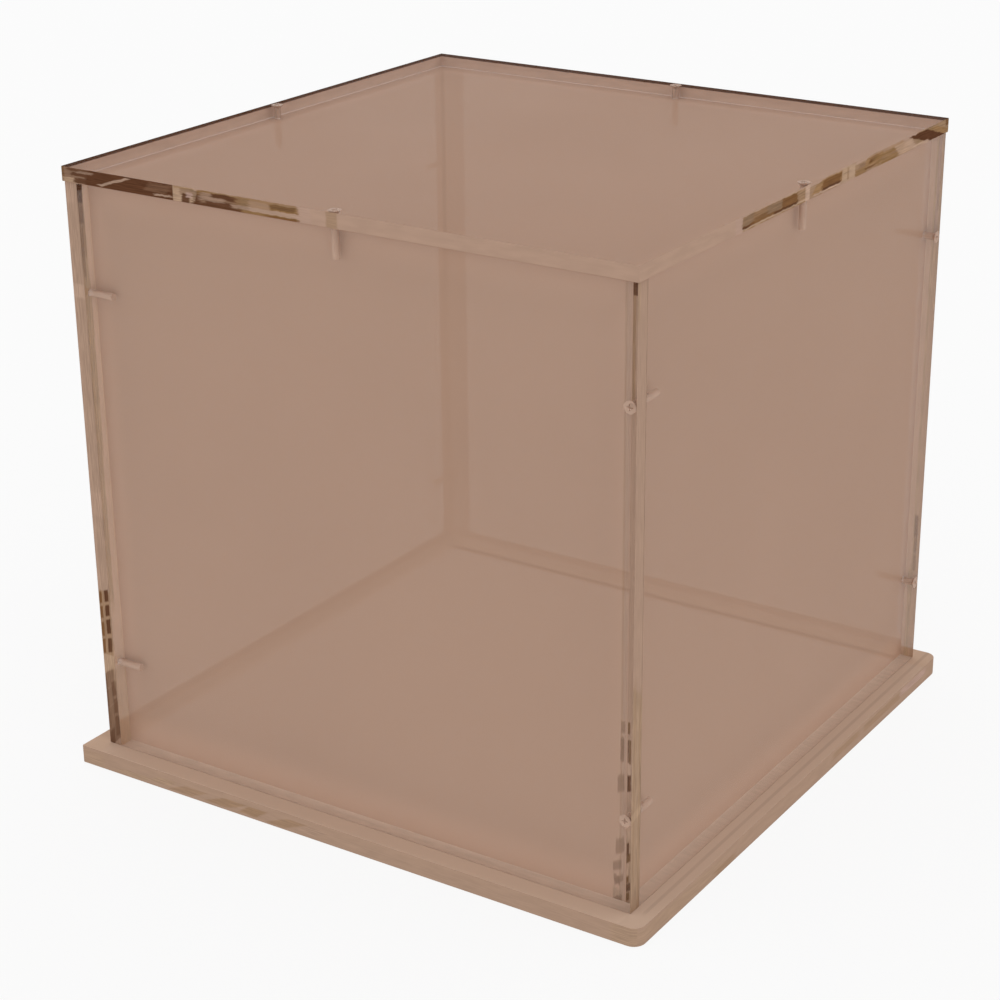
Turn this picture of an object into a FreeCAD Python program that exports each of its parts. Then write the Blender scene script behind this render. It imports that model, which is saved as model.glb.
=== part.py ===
"""Display cube: four wall panes and a lid pane screwed into a lift-off cover, standing on a base plate.

Millimetres. +Z is up, -Y is the front. The origin is the centre of the base plate's underside.
"""

import FreeCAD, Part
import math
import os

# Driving dimensions
cover_width = 203.2           # 8 in, outside the walls
pane_thickness = 4.76         # 3/16 in sheet, walls and lid
base_thickness = 6.35         # 1/4 in sheet
base_overhang = 6.65          # base plate beyond the walls, all round
lid_overhang = 0.5            # lid beyond the walls, all round
total_height = 204.7
base_corner_radius = 4.0      # the two corners on the right
base_square_corner = 0.5      # the two corners on the left, only eased
edge_ease = 0.2               # chamfer on every long edge of a pane

screw_length = 14.0
screw_head_diameter = 4.0
screw_shank_diameter = 2.2
screw_root_diameter = 1.75
screw_head_rim = 0.1
screw_tip_length = 3.0
screw_tip_radius = 0.15
thread_pitch = 0.95
recess_width = 0.5
recess_length = 2.4
recess_depth = 0.55
hole_clearance = 0.05         # on the radius, round a shank
hole_end_gap = 0.5            # past the screw's tip
lower_screw_height = 37.0
upper_screw_height = 164.5

# Worked out from them
half_width = cover_width / 2
base_side = cover_width + 2 * base_overhang
lid_side = cover_width + 2 * lid_overhang
wall_bottom = base_thickness
wall_top = total_height - pane_thickness
wall_height = wall_top - wall_bottom
wall_length = cover_width - pane_thickness
edge_middle = half_width - pane_thickness / 2
head_radius = screw_head_diameter / 2
shank_radius = screw_shank_diameter / 2
head_cone_height = head_radius - shank_radius       # a 90 degree countersink
hole_radius = shank_radius + hole_clearance

SIDES = ("front", "right", "back", "left")
CORNERS = ("front_right", "back_right", "back_left", "front_left")
SCREW_HEIGHTS = {"lower": lower_screw_height, "upper": upper_screw_height}
UP = FreeCAD.Vector(0, 0, 1)
CENTRE = FreeCAD.Vector(0, 0, 0)


def box(low, high):
    size = [high[i] - low[i] for i in range(3)]
    return Part.makeBox(*size, FreeCAD.Vector(*low))


def revolved(profile):
    """A solid of revolution about Z from (radius, height) points."""
    points = [FreeCAD.Vector(radius, 0, height) for radius, height in profile]
    wire = Part.makePolygon(points + points[:1])
    return Part.Face(wire).revolve(CENTRE, UP, 360)


def turned(shape, side):
    """A copy turned about Z from the front to the side with this number."""
    copy = shape.copy()
    copy.rotate(CENTRE, UP, 90 * side)
    return copy


def screw():
    """A countersunk screw pointing down, with its head's top face at the origin."""
    root_radius = screw_root_diameter / 2
    head_bottom = -screw_head_rim - head_cone_height
    tip_start = -screw_length + screw_tip_length
    rings = int((head_bottom - tip_start) / thread_pitch)
    profile = [(0, 0), (head_radius, 0), (head_radius, -screw_head_rim), (shank_radius, head_bottom)]
    ring_top = tip_start + rings * thread_pitch
    profile.append((shank_radius, ring_top + thread_pitch / 4))
    for ring in range(rings):
        valley = ring_top - ring * thread_pitch
        profile.append((root_radius, valley))
        profile.append((shank_radius, valley - thread_pitch / 2))
    profile.append((root_radius, tip_start))
    profile.append((screw_tip_radius, -screw_length))
    profile.append((0, -screw_length))
    body = revolved(profile)
    half_long = recess_length / 2
    half_wide = recess_width / 2
    slot = box((-half_long, -half_wide, -recess_depth), (half_long, half_wide, 1))
    return body.cut(slot).cut(turned(slot, 1))


def screw_hole():
    """The hole that the screw fills: its countersink touches the head, the rest clears the shank."""
    head_bottom = -screw_head_rim - head_cone_height
    end = -screw_length - hole_end_gap
    cone_end = head_bottom + hole_clearance
    profile = [(0, 1), (head_radius, 1), (head_radius, -screw_head_rim)]
    profile += [(hole_radius, cone_end), (hole_radius, end), (0, end)]
    return revolved(profile)


def at_lid(shape, side):
    """Stands a downward screw shape in the lid, over the middle of a wall."""
    copy = shape.copy()
    copy.translate(FreeCAD.Vector(0, -edge_middle, total_height))
    return turned(copy, side)


def at_corner(shape, side, height):
    """Lays a screw shape through a wall's covering end, into the end of the next wall."""
    copy = shape.copy()
    copy.rotate(CENTRE, FreeCAD.Vector(1, 0, 0), 90)
    copy.translate(FreeCAD.Vector(edge_middle, -half_width, height))
    return turned(copy, side)


def eased(shape, edges=None):
    return shape.makeChamfer(edge_ease, edges or shape.Edges)


def front_wall():
    """A wall whose right end covers the next wall, and whose left end the wall before it covers."""
    right = half_width
    pane = box((right - wall_length, -half_width, wall_bottom),
               (right, -half_width + pane_thickness, wall_top))
    return eased(pane)


def lid_panel():
    half = lid_side / 2
    return eased(box((-half, -half, wall_top), (half, half, total_height)))


def base_plate():
    half = base_side / 2
    plate = box((-half, -half, 0), (half, half, base_thickness))
    upright = [edge for edge in plate.Edges if abs(edge.BoundBox.ZLength - base_thickness) < 1e-6]
    right_side = [edge for edge in upright if edge.CenterOfMass.x > 0]
    left_side = [edge for edge in upright if edge.CenterOfMass.x < 0]
    plate = plate.makeFillet(base_corner_radius, right_side)
    left_side = [edge for edge in plate.Edges if near_any(edge, left_side)]
    plate = plate.makeFillet(base_square_corner, left_side)
    rims = [edge for edge in plate.Edges if edge.BoundBox.ZLength < 1e-6]
    return eased(plate, rims)


def near_any(edge, others):
    return any((edge.CenterOfMass - other.CenterOfMass).Length < 1e-6 for other in others)


def build():
    """Every node's solid, by name."""
    plain_screw = screw()
    plain_hole = screw_hole()
    nodes = {"base_plate": base_plate(), "lid_panel": lid_panel()}
    walls = [turned(front_wall(), side) for side in range(4)]
    for side in range(4):
        hole = at_lid(plain_hole, side)
        nodes["lid_panel"] = nodes["lid_panel"].cut(hole)
        walls[side] = walls[side].cut(hole)
        nodes["lid_screw_" + SIDES[side]] = at_lid(plain_screw, side)
        next_side = (side + 1) % 4
        for level, height in SCREW_HEIGHTS.items():
            hole = at_corner(plain_hole, side, height)
            walls[side] = walls[side].cut(hole)
            walls[next_side] = walls[next_side].cut(hole)
            nodes["corner_screw_" + CORNERS[side] + "_" + level] = at_corner(plain_screw, side, height)
    for side in range(4):
        nodes[SIDES[side] + "_wall"] = walls[side]
    return nodes


os.makedirs("parts", exist_ok=True)
for name, shape in build().items():
    solid = shape.Solids[0]
    print(name, "valid" if solid.isValid() else "NOT VALID", len(shape.Solids), round(solid.Volume, 2))
    solid.exportStep("parts/" + name + ".step")
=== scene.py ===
"""Bronze-tinted acrylic display cube: the looks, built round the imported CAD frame."""

import math

import bmesh
import bpy
from mathutils import Matrix, Vector


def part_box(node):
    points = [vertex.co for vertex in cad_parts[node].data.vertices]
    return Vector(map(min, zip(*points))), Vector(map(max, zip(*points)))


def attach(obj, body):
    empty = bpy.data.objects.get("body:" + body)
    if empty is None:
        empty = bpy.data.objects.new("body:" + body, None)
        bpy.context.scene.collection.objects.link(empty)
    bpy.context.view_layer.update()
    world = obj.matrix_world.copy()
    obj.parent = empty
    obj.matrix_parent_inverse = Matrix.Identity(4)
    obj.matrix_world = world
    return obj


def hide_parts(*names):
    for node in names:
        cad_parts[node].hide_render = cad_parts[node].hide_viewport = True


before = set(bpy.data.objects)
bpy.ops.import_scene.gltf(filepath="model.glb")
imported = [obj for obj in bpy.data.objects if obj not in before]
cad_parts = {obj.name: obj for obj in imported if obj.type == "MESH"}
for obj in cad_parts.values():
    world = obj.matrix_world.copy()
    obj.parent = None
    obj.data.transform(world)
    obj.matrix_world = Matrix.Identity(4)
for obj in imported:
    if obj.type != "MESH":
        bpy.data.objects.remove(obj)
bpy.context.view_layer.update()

# ---------------------------------------------------------------- sizes, metres
MM = 0.001
base_low, base_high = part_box("base_plate")
lid_low, lid_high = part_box("lid_panel")
front_low, front_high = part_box("front_wall")
screw_low, screw_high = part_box("lid_screw_front")

PANE = front_high.y - front_low.y
HALF = front_high.x                 # from the middle to a wall's outer face
INNER = HALF - PANE                 # from the middle to a wall's inner face
EDGE_MIDDLE = HALF - PANE / 2
BASE_TOP = base_high.z
LID_TOP = lid_high.z
WALL_TOP = lid_low.z

GAP = 0.03 * MM                     # between pieces that touch, so their faces stay apart
ARRIS = 0.2 * MM                    # polished bevel on every edge of a pane
ARRIS_SEGMENTS = 2
SHARP = math.radians(40)            # edges that turn by more than this get an arris
BASE_CORNER = 4.0 * MM
BASE_SQUARE_CORNER = 0.5 * MM
CORNER_SEGMENTS = 10
SMALL_FACE = 20 * MM * MM           # every face of an arris, a hole or a screw is smaller
CREASE = math.radians(35)           # smooth shading stops at edges that turn by more

SCREW_LENGTH = screw_high.z - screw_low.z
HEAD_RADIUS = (screw_high.x - screw_low.x) / 2
SHANK_RADIUS = 1.1 * MM
ROOT_RADIUS = 0.86 * MM
HEAD_RIM = 0.1 * MM
HEAD_SOFTENING = 0.06 * MM
HEAD_BOTTOM = -HEAD_RIM - (HEAD_RADIUS - SHANK_RADIUS)
TIP_LENGTH = 3.0 * MM
TIP_RADIUS = 0.15 * MM
THREAD_PITCH = 0.95 * MM
THREAD_END = SCREW_LENGTH - 0.8 * MM  # depth where the ridge has run out
RIDGE_HALF_WIDTH = 0.32             # of the thread's ridge, in pitches
RINGS_PER_PITCH = 8
SCREW_STEPS = 32
RECESS_WIDTH = 0.5 * MM
RECESS_LENGTH = 2.4 * MM
RECESS_DEPTH = 0.55 * MM
RECESS_TAPER = 0.7
HOLE_CLEARANCE = 0.05 * MM
HOLE_OVERSHOOT = 0.5 * MM
HOLE_STEPS = 40
HOLE_REACH = HEAD_RADIUS + 0.3 * MM  # a small face this near a screw's axis is its hole's
AXIS_STEPS = 14                     # points looked at along a screw to see what it runs into
AXIS_SLACK = 0.1 * MM

RIM_RISE = 5.4 * MM                 # height of the pale strip of painted light along the far walls' foot
END_REACH = 5.0 * MM                # the back wall's outer face covers from here inside its end

FLOOR_HALF = 6.0
FLOOR_DROP = 0.3 * MM
CAMERA_AZIMUTH = math.radians(31.92)
CAMERA_ELEVATION = math.radians(22.11)
CAMERA_TARGET = Vector((0.0191, -0.0085, 0.0883))
CAMERA_DISTANCE = 0.7658
CAMERA_LENS = 83.48                 # millimetres, like the sensor
CAMERA_SENSOR = 36
CAMERA_SHIFT = -0.06                # in frame widths

SIDES = ("front", "right", "back", "left")
CORNERS = ("front_right", "back_right", "back_left", "front_left")
LEVELS = ("lower", "upper")

# ---------------------------------------------------------------- how much each layer covers
NEAR_TINT = 0.85                    # the tinted face of the lid and the near walls
FAR_TINT = 0.76                     # and of the far walls and the base plate
HAZE = 0.01
POLISH = 0.05                       # an outer face
FOOT_SCREEN = 0.85                  # a far wall's outer face along the base plate
END_SCREEN = 0.7                    # the back wall's outer face over the left wall's end
STRIP = 0.97                        # the pale strip along a far wall's foot
BASE_RIM = 0.06                     # more on the base plate's rim, outside the walls
BASE_NEAR_RIM = 0.15                # and more still on its two near sides
DUST = 0.02
HOLE = 0.48
SCREW = 0.42
SCREW_TURNED = 0.08                 # more where a screw's side turns away
SEAT = 0.84                         # a wall's top edge, under the lid
UNDERSIDE = 0.1

# ---------------------------------------------------------------- looks, lengths in millimetres
ACRYLIC_IOR = 1.49
EDGE_LIFT = 1.26                    # how much lighter the tint is painted right beside a cut edge: painted light against the shade there
TOP_GLOW = 0.55                     # a wall's share of that at its top; its foot has all of it
TOP_FADE = (1.0, 13.0)
FOOT_FADE = (1.0, 15.0)
START_FADE = (0.0, 10.0)
END_FADE = (0.0, 8.0)
LID_GLOW = 0.35
LID_FADE = 8.0
STRIP_SOFT = 0.6
CORNER_LINE = (3.2, 1.0)            # where the far corner's painted dark shade line runs, before the corner
CORNER_LINE_TOP = (85.0, 140.0)     # it darkens between these heights
CORNER_LINE_FAINT = 0.2             # its strength below them
ECHO = (2.8, 3.6)                   # the faint painted shadow line on the base plate, outside the right wall
ECHO_START = (-101.0, -97.0)
ECHO_STRENGTH = 0.15
HEAD_START = (-1.5, 0.5)            # a screw takes its head's painted tone here, above the wall's top
FLOOR_GLOW = 0.925
FLOOR_ALBEDO = 0.08


def quarter_turns(count):
    return Matrix.Rotation(math.radians(90 * count), 4, "Z")


# ---------------------------------------------------------------- colours
def srgb(red, green, blue):
    """A display colour, 0 to 255, as the linear colour that shaders take."""
    def linear(value):
        value /= 255
        return value / 12.92 if value <= 0.04045 else ((value + 0.055) / 1.055) ** 2.4
    return (linear(red), linear(green), linear(blue), 1.0)


def scaled(colour, factor):
    return tuple(channel * factor for channel in colour[:3]) + (1.0,)


PALE = srgb(251, 251, 251)
BRONZE = srgb(177, 144, 123)
LID_BRONZE = srgb(177, 143, 122)
# BASE_BRONZE is painted lighter than the walls' bronze: painted light against the shade the walls
# throw on the base plate.
BASE_BRONZE = srgb(196, 166, 144)
EDGE_TAN = srgb(174, 144, 125)
# FAR_TAN is a lighter edge tan, painted light for the lid's far edges and the back wall's end
# cover, which are seen in shade.
FAR_TAN = srgb(197, 167, 149)
FOOT_TAN = srgb(202, 177, 159)
BASE_SIDE_TAN = srgb(168, 139, 119)
SHADED_TAN = srgb(164, 136, 117)
CORNER_TAN = srgb(152, 122, 96)
# INNER_TAN is a lighter edge tan, painted light for the wall ends that stand in the shaded inside
# corners.
INNER_TAN = srgb(206, 174, 150)
# The screws' tones are painted light: SCREW_TAN is lighter than the sheet against the shade in the
# holes, SHADE_TAN lighter still for the far corner, which gets the least light, and HEAD_TAN is
# painted for the light the heads get in the lid.
SCREW_TAN = srgb(207, 177, 157)
SHADE_TAN = srgb(228, 204, 187)
HEAD_TAN = srgb(201, 172, 153)
# END_TAN is a lighter edge tan, painted light for the right wall's end, which is seen in shade.
END_TAN = srgb(194, 161, 137)
# PALE_FOOT: the pale strip of painted light along a far wall's foot.
PALE_FOOT = srgb(250, 234, 220)
# The colours from here on paint the refraction marks: the light and shade seen in the cut edges.
BLOCK_BROWN = srgb(128, 99, 79)
GAP_TAN = srgb(174, 145, 120)
LIGHT_TAN = srgb(188, 158, 138)
PINK_TAN = srgb(178, 148, 136)
OLIVE_TAN = srgb(165, 137, 114)
OLIVE_BROWN = srgb(136, 103, 68)
OLIVE_BLOCK = srgb(148, 114, 80)
OLIVE_CORNER = srgb(150, 121, 94)
GREY_OLIVE = srgb(132, 106, 84)
# LINE_BROWN: the colour of the painted shadow and shade lines at the walls' foot, the far corner
# and the base plate's rim.
LINE_BROWN = srgb(62, 42, 32)
WARM_BROWN = srgb(130, 100, 79)
RED_BROWN = srgb(116, 80, 50)
OLIVE_LIGHT = srgb(182, 152, 122)
DARK_OLIVE = srgb(112, 82, 56)
DARK_BROWN = srgb(90, 58, 40)


# ---------------------------------------------------------------- node arithmetic
class Field:
    """A number that varies over a surface, made of Math nodes by ordinary arithmetic."""

    def __init__(self, tree, socket):
        self.tree = tree
        self.socket = socket

    def feed(self, target):
        self.tree.links.new(self.socket, target)

    def math(self, operation, *values):
        node = self.tree.nodes.new("ShaderNodeMath")
        node.operation = operation
        for socket, value in zip(node.inputs, values):
            if isinstance(value, Field):
                value.feed(socket)
            else:
                socket.default_value = value
        return Field(self.tree, node.outputs[0])

    def __add__(self, other):
        return self.math("ADD", self, other)

    def __sub__(self, other):
        return self.math("SUBTRACT", self, other)

    def __rsub__(self, other):
        return self.math("SUBTRACT", other, self)

    def __mul__(self, other):
        return self.math("MULTIPLY", self, other)

    __radd__ = __add__
    __rmul__ = __mul__

    def absolute(self):
        return self.math("ABSOLUTE", self)

    def larger(self, other):
        return self.math("MAXIMUM", self, other)

    def rise(self, low, high):
        """0 below low, 1 above high, smooth between."""
        node = self.tree.nodes.new("ShaderNodeMapRange")
        node.interpolation_type = "SMOOTHSTEP"
        self.feed(node.inputs["Value"])
        node.inputs["From Min"].default_value = low
        node.inputs["From Max"].default_value = high
        return Field(self.tree, node.outputs["Result"])

    def fade(self, low, high):
        """1 below low, 0 above high, smooth between."""
        return 1 - self.rise(low, high)

    def between(self, low, high, soft=0.4):
        """1 from low to high, fading over soft outside them."""
        return self.rise(low - soft, low) * self.fade(high, high + soft)


class Paint:
    """The node tree of one material, with the object's coordinates in millimetres."""

    def __init__(self, name):
        self.material = bpy.data.materials.new(name)
        self.material.use_nodes = True
        self.tree = self.material.node_tree
        self.tree.nodes.clear()
        self.output = self.new("ShaderNodeOutputMaterial")
        coordinates = self.new("ShaderNodeTexCoord")
        split = self.new("ShaderNodeSeparateXYZ")
        self.tree.links.new(coordinates.outputs["Object"], split.inputs[0])
        self.x, self.y, self.z = (
            Field(self.tree, split.outputs[axis]) * (1 / MM) for axis in "XYZ")

    def new(self, kind):
        return self.tree.nodes.new(kind)

    def point(self, x, y, z):
        node = self.new("ShaderNodeCombineXYZ")
        for socket, value in zip(node.inputs, (x, y, z)):
            if isinstance(value, Field):
                value.feed(socket)
            else:
                socket.default_value = value
        return node.outputs[0]

    def here(self):
        return self.point(self.x, self.y, self.z)

    def ring(self):
        """How far a spot lies from the middle, square fashion."""
        return self.x.absolute().larger(self.y.absolute())

    def noise(self, point, scale=1.0, detail=3.0, rough=0.5):
        """A noise field, about 0 to 1, over points in millimetres."""
        node = self.new("ShaderNodeTexNoise")
        self.tree.links.new(point, node.inputs["Vector"])
        node.inputs["Scale"].default_value = scale
        node.inputs["Detail"].default_value = detail
        node.inputs["Roughness"].default_value = rough
        return Field(self.tree, node.outputs[0])

    def mix(self, factor, low, high):
        """low where factor is 0 and high where it is 1; either may be a colour or a socket."""
        node = self.new("ShaderNodeMix")
        node.data_type = "RGBA"
        factor.feed(node.inputs[0])
        for socket, value in ((node.inputs[6], low), (node.inputs[7], high)):
            if isinstance(value, tuple):
                socket.default_value = value
            else:
                self.tree.links.new(value, socket)
        return node.outputs[2]

    def mottled(self, factor, colour, spread):
        """A colour that varies by spread each way with factor."""
        return self.mix(factor, scaled(colour, 1 - spread), scaled(colour, 1 + spread))

    def surface(self, colour, alpha=1.0, roughness=0.3, specular=0.2, bump=None, bump_mm=0.02):
        """A Principled surface; colour may be a socket, alpha and roughness may be fields."""
        shader = self.new("ShaderNodeBsdfPrincipled")
        if isinstance(colour, tuple):
            shader.inputs["Base Color"].default_value = colour
        else:
            self.tree.links.new(colour, shader.inputs["Base Color"])
        for name, value in (("Alpha", alpha), ("Roughness", roughness)):
            if isinstance(value, Field):
                value.feed(shader.inputs[name])
            else:
                shader.inputs[name].default_value = value
        shader.inputs["Specular IOR Level"].default_value = specular
        shader.inputs["IOR"].default_value = ACRYLIC_IOR
        if bump is not None:
            node = self.new("ShaderNodeBump")
            node.inputs["Distance"].default_value = bump_mm * MM
            bump.feed(node.inputs["Height"])
            self.tree.links.new(node.outputs[0], shader.inputs["Normal"])
        self.tree.links.new(shader.outputs[0], self.output.inputs[0])
        return shader


# ---------------------------------------------------------------- directions, in millimetres
def axis_x(paint):
    return paint.x


def axis_y(paint):
    return paint.y


def axis_z(paint):
    return paint.z


def backwards(axis):
    return lambda paint: axis(paint) * -1


def past(axis, level):
    """Millimetres past a level along an axis."""
    return lambda paint: axis(paint) - level / MM


# ---------------------------------------------------------------- materials
def tinted(paint, bronze):
    """The sheet's bronze, drifting a little from place to place, and a fine haze field."""
    here = paint.here()
    drift = paint.noise(here, scale=0.012, detail=2.0)
    haze = paint.noise(here, scale=0.9, detail=3.0)
    return paint.mottled(drift.rise(0.3, 0.7), bronze, 0.015), haze


def wall_glow(along, start_glow, end_glow):
    """How far a wall's tint lightens beside its foot, its top and its two ends.

    This is painted light, against the shade beside the cut edges. along is the wall's direction;
    the foot gives 1, and the ends give start_glow and end_glow.
    """
    def glow(paint):
        below_top = WALL_TOP / MM - paint.z
        above_foot = paint.z - BASE_TOP / MM
        from_start = along(paint) + INNER / MM
        from_end = INNER / MM - along(paint)
        top = below_top.fade(*TOP_FADE) * TOP_GLOW
        foot = above_foot.fade(*FOOT_FADE)
        start = from_start.fade(*START_FADE) * start_glow
        end = from_end.fade(*END_FADE) * end_glow
        return top.larger(foot).larger(start).larger(end)
    return glow


# The lid's tint, painted lighter towards its edges: painted light against the shade there.
def lid_glow(paint):
    return paint.ring().rise(INNER / MM - LID_FADE, INNER / MM) * LID_GLOW


def pane_tint(name, bronze, glow, cover=NEAR_TINT, cut_past=None, foot_line=None, strokes=(),
              line_at=None):
    """The inner face of a pane, which carries the sheet's bronze tint.

    glow(paint) is how far the tint is painted lighter towards the cut edges, as painted light
    against the shade there. cut_past is the axis along which the tint stops at the next wall's
    inner face, so that wall's end shows. foot_line paints a pale strip of painted light in front
    of the base plate's rim and a dark painted shadow line there, given by its foot and top in
    millimetres above the plate and its strength. strokes are painted refraction marks, the light
    and shade seen in the sheet, by height and by millimetres past the next wall's inner face.
    line_at paints the dark shade line of an inside corner.
    """
    paint = Paint(name)
    tone, haze = tinted(paint, bronze)
    tone = paint.mix(glow(paint), tone, scaled(bronze, EDGE_LIFT))
    alpha = (haze - 0.5) * HAZE + cover
    # The foot: a pale strip of painted light along the base plate's rim, and a dark painted shadow
    # line.
    if foot_line:
        line_foot, line_top, strength = foot_line
        strip_top = (BASE_TOP + RIM_RISE) / MM
        strip = paint.z.fade(strip_top, strip_top + STRIP_SOFT)
        line = paint.z.between(BASE_TOP / MM + line_foot, BASE_TOP / MM + line_top, 0.3)
        tone = paint.mix(strip, tone, PALE_FOOT)
        tone = paint.mix(line * strength, tone, LINE_BROWN)
        alpha = alpha.larger(strip * STRIP)
    # The painted dark shade line along the far inside corner.
    if line_at is not None:
        line = line_at(paint).between(*(INNER / MM - before for before in CORNER_LINE))
        line = line * (paint.z.rise(*CORNER_LINE_TOP) * (1 - CORNER_LINE_FAINT)
                       + CORNER_LINE_FAINT)
        tone = paint.mix(line, tone, scaled(LINE_BROWN, 0.5))
        alpha = alpha.larger(line)
    if strokes:
        from_corner = paint.x - INNER / MM
        tone, marks, _ = strokes_over(paint, tone, paint.z, from_corner, strokes, 0.6)
        alpha = alpha.larger(marks)
    if cut_past is not None:
        alpha = alpha * cut_past(paint).fade(INNER / MM + 0.3, INNER / MM + 0.4)
    paint.surface(tone, alpha=alpha, roughness=0.4, specular=0.0)
    return paint.material


def base_tint(name, bronze):
    """The base plate's top face, with a faint painted shadow line that the right wall throws on its
    rim, and painted shade along its right edge.
    """
    paint = Paint(name)
    tone, haze = tinted(paint, bronze)
    inner = INNER / MM
    outer = HALF / MM
    streak = paint.noise(paint.point(paint.x * 0.08, paint.y * 0.08, 0.0))
    # A painted shadow line that the right wall throws on the rim.
    echo = paint.x.between(*(outer + beyond for beyond in ECHO)) * paint.y.rise(*ECHO_START)
    echo = echo * ECHO_STRENGTH * (streak.rise(0.2, 0.6) * 0.3 + 0.7)
    shaded = paint.x.rise(outer - 1.0, outer) * 0.3
    tone = paint.mix(shaded, tone, scaled(bronze, 0.82))
    tone = paint.mix(echo, tone, LINE_BROWN)
    rim = paint.ring().rise(inner, outer) * BASE_RIM
    near = paint.x.larger(paint.y * -1).rise(inner, outer) * BASE_NEAR_RIM
    alpha = (haze - 0.5) * HAZE + FAR_TINT + rim + near
    paint.surface(tone, alpha=alpha.larger(echo), roughness=0.4, specular=0.0)
    return paint.material


def polished(name, foot_cover=0.0, end_past=None):
    """The outer face of a pane: almost clear, with gloss, hairline scuffs and a little dust.

    foot_cover is how much it covers along the base plate. end_past is the axis along which it
    covers the end of the next wall too.
    """
    paint = Paint(name)
    scuffs = paint.noise(paint.point(paint.x * 0.08, paint.y * 0.9, paint.z * 0.9),
                         scale=1.2, detail=5.0)
    dust = paint.noise(paint.here(), scale=0.5, detail=6.0, rough=0.7)
    alpha = dust.rise(0.62, 0.8) * DUST + POLISH
    tone = paint.mix(dust.rise(0.4, 0.7), scaled(BRONZE, 0.98), scaled(BRONZE, 1.04))
    if foot_cover:
        strip_top = (BASE_TOP + RIM_RISE) / MM
        alpha = alpha.larger(paint.z.fade(strip_top + 0.5, strip_top + 1.1) * foot_cover)
    if end_past is not None:
        end_start = (INNER - END_REACH) / MM
        end = end_past(paint).rise(end_start, end_start + 0.8)
        alpha = alpha.larger(end * END_SCREEN)
        tone = paint.mix(end, tone, FAR_TAN)
    roughness = scuffs.rise(0.55, 0.75) * 0.1 + 0.05
    paint.surface(tone, alpha=alpha, roughness=roughness, specular=0.4, bump=scuffs, bump_mm=0.004)
    return paint.material


def strokes_over(paint, colour, along, up, strokes, ragged):
    """Lays painted refraction marks over a cut edge, one after another: the light and shade that
    the sheet refracts and reflects into view.

    Each stroke is (from, to, low, high, lean, soft, colour, strength): millimetres along the
    edge and up it, how far it slides along for each millimetre up, how softly its ends fade, its
    colour and how strong it is. Returns the colour, the marks' cover and the grain.
    """
    streak = paint.noise(paint.point(along * 0.11, up * 2.6, 7.0), detail=5.0, rough=0.65)
    fray = paint.noise(paint.point(along * 0.35, up * 3.2, 3.0), detail=4.0, rough=0.6)
    wander = paint.noise(paint.point(along * 0.3, 0.0, 5.0), detail=4.0)
    frayed = (fray - 0.5) * 4.0
    up = up + (wander - 0.5) * (1.2 * ragged) + (fray - 0.5) * (0.5 * ragged)
    cover = None
    for start, end, low, high, lean, soft, tone, strength in strokes:
        place = along + frayed * (soft * ragged)
        if lean:
            place = place - up * lean
        mask = place.between(start, end, 0.4 + soft) * up.between(low, high, 0.35)
        if strength < 0.9:
            mask = mask * (streak.rise(0.2, 0.55) * 0.4 + 0.7)
        mask = mask * strength
        streaked = paint.mix(streak.rise(0.3, 0.7), scaled(tone, 0.78), scaled(tone, 1.24))
        colour = paint.mix(mask, colour, streaked)
        cover = mask if cover is None else cover.larger(mask)
    return colour, cover, streak


def cut_edge(name, along, up, strokes=(), plain=EDGE_TAN, cover=1.0, ragged=0.6):
    """A polished cut edge; along and up pick its directions from the coordinates."""
    paint = Paint(name)
    run = along(paint)
    rise = up(paint)
    cloud = paint.noise(paint.point(run * 0.12, rise * 0.6, 1.0))
    colour = paint.mottled(cloud.rise(0.3, 0.7), plain, 0.04)
    alpha = cover
    grain = cloud
    if strokes:
        colour, marks, grain = strokes_over(paint, colour, run, rise, strokes, ragged)
        alpha = marks.larger(cover)
    paint.surface(colour, alpha=alpha, roughness=grain * 0.2 + 0.12, specular=0.0, bump=grain,
                  bump_mm=0.003)
    return paint.material


def inward(paint):
    """How far a spot lies towards the corner that gets the least light, from 0 to 1."""
    return (paint.y - paint.x).rise(-40.0, 160.0)


def screw_tones(paint, tone):
    """A screw's or a hole's tone, painted lighter towards the far corner against the shade there,
    and with the head's painted tone in the lid.
    """
    tone = paint.mix(inward(paint), tone, SHADE_TAN)
    head = paint.z.rise(*(WALL_TOP / MM + above for above in HEAD_START))
    return paint.mix(head, tone, HEAD_TAN)


def clear_face(name, cover, tan=BRONZE, by_screw=False):
    """A face where two pieces meet, or a drilled hole: nearly invisible in the sheet."""
    paint = Paint(name)
    mottle = paint.noise(paint.here(), scale=1.5)
    tone = paint.mottled(mottle.rise(0.3, 0.7), tan, 0.05)
    if by_screw:
        tone = screw_tones(paint, tone)
    paint.surface(tone, alpha=mottle * 0.06 + cover, roughness=0.3, specular=0.1)
    return paint.material


def clear_plastic(name):
    """Moulded clear screws, with painted shade on the sides where they turn away, as a lens darkens
    them.
    """
    paint = Paint(name)
    weight = paint.new("ShaderNodeLayerWeight")
    weight.inputs["Blend"].default_value = 0.45
    turned = Field(paint.tree, weight.outputs["Facing"])
    cloud = paint.noise(paint.here(), scale=1.1)
    # Painted shade where the side turns away.
    tone = paint.mix(turned.rise(0.45, 0.95), SCREW_TAN, scaled(SCREW_TAN, 0.9))
    tone = paint.mix(cloud.rise(0.4, 0.8) * 0.3, tone, scaled(SCREW_TAN, 1.05))
    tone = screw_tones(paint, tone)
    paint.surface(tone, alpha=turned * SCREW_TURNED + SCREW, roughness=cloud * 0.15 + 0.1,
                  specular=0.1)
    return paint.material
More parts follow.
